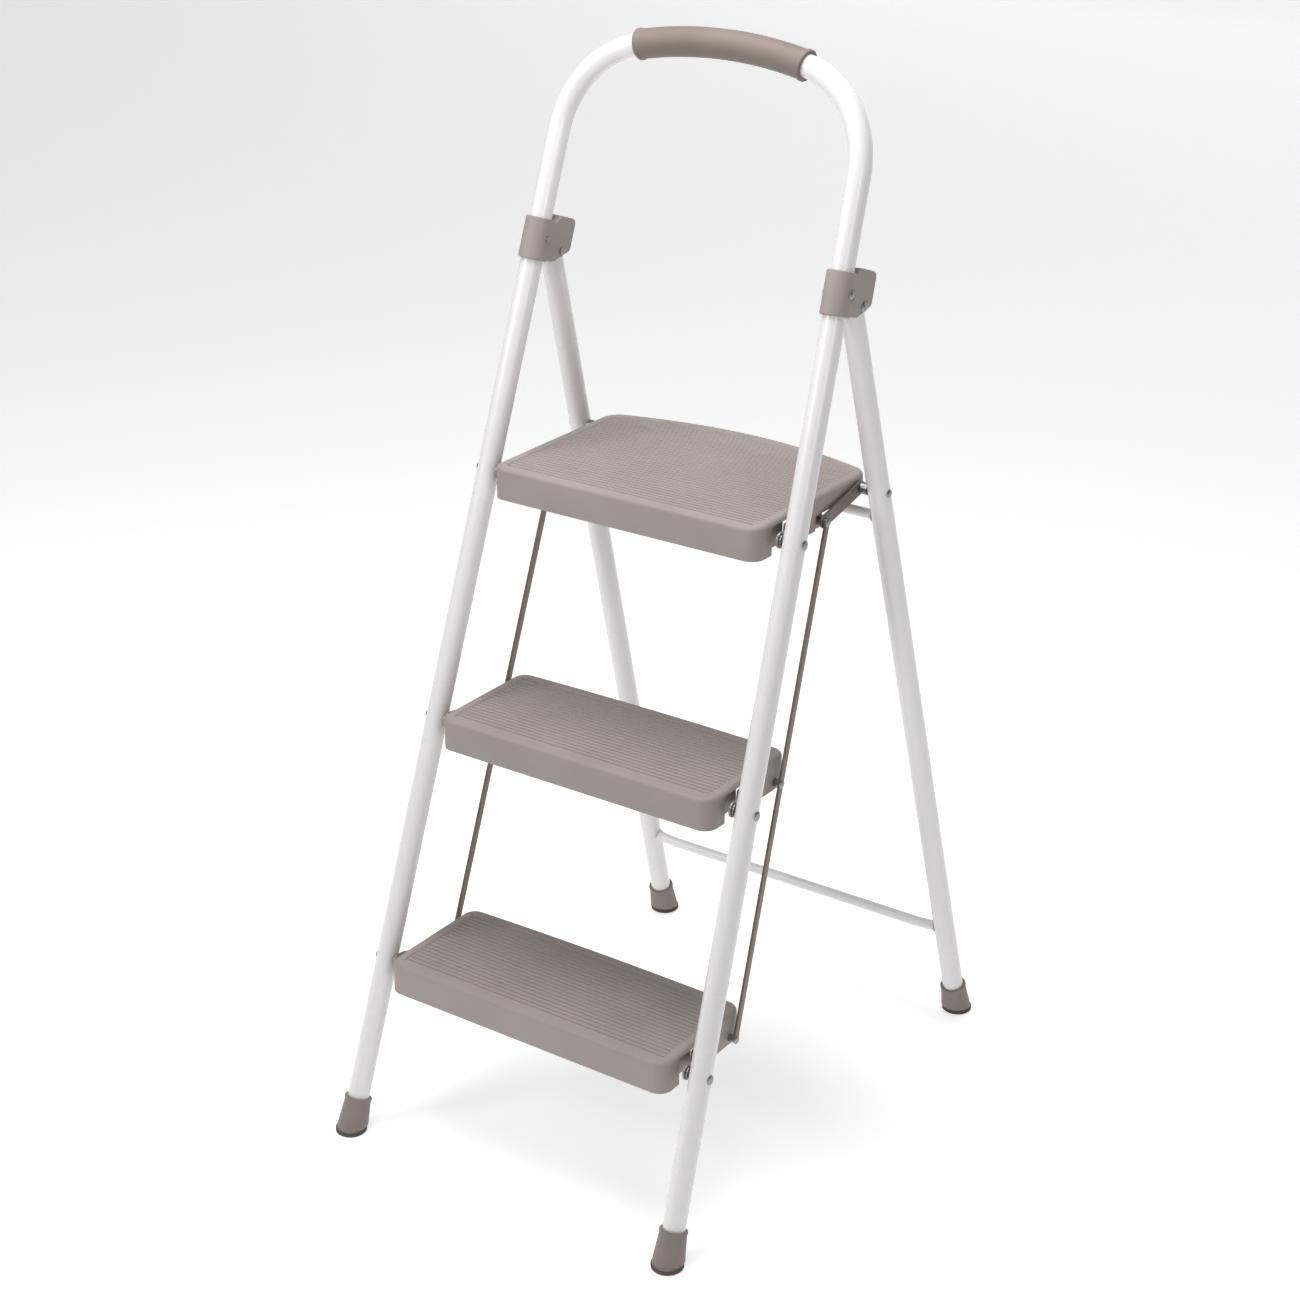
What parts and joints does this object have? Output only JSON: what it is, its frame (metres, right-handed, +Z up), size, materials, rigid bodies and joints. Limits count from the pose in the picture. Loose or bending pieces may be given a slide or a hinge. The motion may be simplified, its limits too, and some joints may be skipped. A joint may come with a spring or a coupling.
{
  "type": "folding step stool",
  "caption": "Folding three-tread step stool with a leaning tube frame, moulded treads, hinged rear legs and a handrail loop with a grip.",
  "frame": {"origin": "on the floor, at the middle of the box around the open stool", "axes": "+Z up, +X to the climber's right, and the treads are climbed from -Y towards +Y"},
  "size_m": [0.4264, 0.597, 1.0822],
  "materials": {
    "white_tube": "gloss white powder coat",
    "tread_plastic": "fine-textured taupe polypropylene",
    "dark_plastic": "darker taupe soft plastic",
    "bar_steel": "painted flat steel",
    "zinc_fixings": "bright zinc"
  },
  "bodies": {
    "front_frame": {"front_rail": "white_tube", "handle_grip": "dark_plastic", "front_foot_left": "dark_plastic", "front_foot_right": "dark_plastic", "hinge_bracket_left": "tread_plastic", "hinge_bracket_right": "tread_plastic", "hinge_rivet_left": "zinc_fixings", "hinge_rivet_right": "zinc_fixings", "bracket_rivet_left": "zinc_fixings", "bracket_rivet_right": "zinc_fixings", "bottom_pivot_rivet_left": "zinc_fixings", "bottom_pivot_rivet_right": "zinc_fixings", "bottom_pivot_washer_left": "zinc_fixings", "bottom_pivot_washer_right": "zinc_fixings", "middle_pivot_rivet_left": "zinc_fixings", "middle_pivot_rivet_right": "zinc_fixings", "middle_pivot_washer_left": "zinc_fixings", "middle_pivot_washer_right": "zinc_fixings", "platform_pivot_rivet_left": "zinc_fixings", "platform_pivot_rivet_right": "zinc_fixings", "platform_pivot_washer_left": "zinc_fixings", "platform_pivot_washer_right": "zinc_fixings"},
    "rear_frame": {"rear_leg_left": "white_tube", "rear_leg_right": "white_tube", "rear_foot_left": "dark_plastic", "rear_foot_right": "dark_plastic", "platform_support_bar": "white_tube", "rear_cross_bar": "white_tube", "stay_boss_left": "zinc_fixings", "stay_boss_right": "zinc_fixings"},
    "platform": {"platform_tread": "tread_plastic", "platform_bracket_left": "bar_steel", "platform_bracket_right": "bar_steel", "platform_rod_pin_left": "zinc_fixings", "platform_rod_pin_right": "zinc_fixings", "platform_screw_left": "zinc_fixings", "platform_screw_right": "zinc_fixings"},
    "middle_step": {"middle_tread": "tread_plastic", "middle_bracket_left": "bar_steel", "middle_bracket_right": "bar_steel", "middle_rod_pin_left": "zinc_fixings", "middle_rod_pin_right": "zinc_fixings", "middle_screw_left": "zinc_fixings", "middle_screw_right": "zinc_fixings"},
    "bottom_step": {"bottom_tread": "tread_plastic", "bottom_bracket_left": "bar_steel", "bottom_bracket_right": "bar_steel", "bottom_rod_pin_left": "zinc_fixings", "bottom_rod_pin_right": "zinc_fixings", "bottom_screw_left": "zinc_fixings", "bottom_screw_right": "zinc_fixings"},
    "tie_rods": {"tie_rod_left": "bar_steel", "tie_rod_right": "bar_steel"},
    "stays": {"stay_left": "bar_steel", "stay_right": "bar_steel", "stay_rivet_left": "zinc_fixings", "stay_rivet_right": "zinc_fixings"}
  },
  "joints": [
    {"name": "rear_frame_fold", "type": "hinge", "parent": "front_frame", "child": "rear_frame", "pos_m": [0, 0.04488, 0.85757], "axis": [-1, 0, 0], "range_deg": [0, 33.6]},
    {"name": "platform_fold", "type": "hinge", "parent": "front_frame", "child": "platform", "pos_m": [0, -0.05337, 0.6565], "axis": [1, 0, 0], "range_deg": [0, 66.6]},
    {"name": "middle_step_fold", "type": "hinge", "parent": "front_frame", "child": "middle_step", "pos_m": [0, -0.13713, 0.4165], "axis": [1, 0, 0], "range_deg": [0, 66.6]},
    {"name": "bottom_step_fold", "type": "hinge", "parent": "front_frame", "child": "bottom_step", "pos_m": [0, -0.2209, 0.1765], "axis": [1, 0, 0], "range_deg": [0, 66.6]},
    {"name": "tie_rods_fold", "type": "hinge", "parent": "platform", "child": "tie_rods", "pos_m": [0, 0.03263, 0.6465], "axis": [-1, 0, 0], "range_deg": [0, 66.6]},
    {"name": "stays_fold", "type": "hinge", "parent": "platform", "child": "stays", "pos_m": [0, 0.03263, 0.6465], "axis": [-1, 0, 0], "range_deg": [0, 176.1]}
  ],
  "couplings": [
    {"joint": "platform_fold", "follows": "rear_frame_fold", "ratio": 1.9813},
    {"joint": "middle_step_fold", "follows": "rear_frame_fold", "ratio": 1.9813},
    {"joint": "bottom_step_fold", "follows": "rear_frame_fold", "ratio": 1.9813},
    {"joint": "tie_rods_fold", "follows": "rear_frame_fold", "ratio": 1.9813},
    {"joint": "stays_fold", "follows": "rear_frame_fold", "ratio": 5.2386}
  ]
}
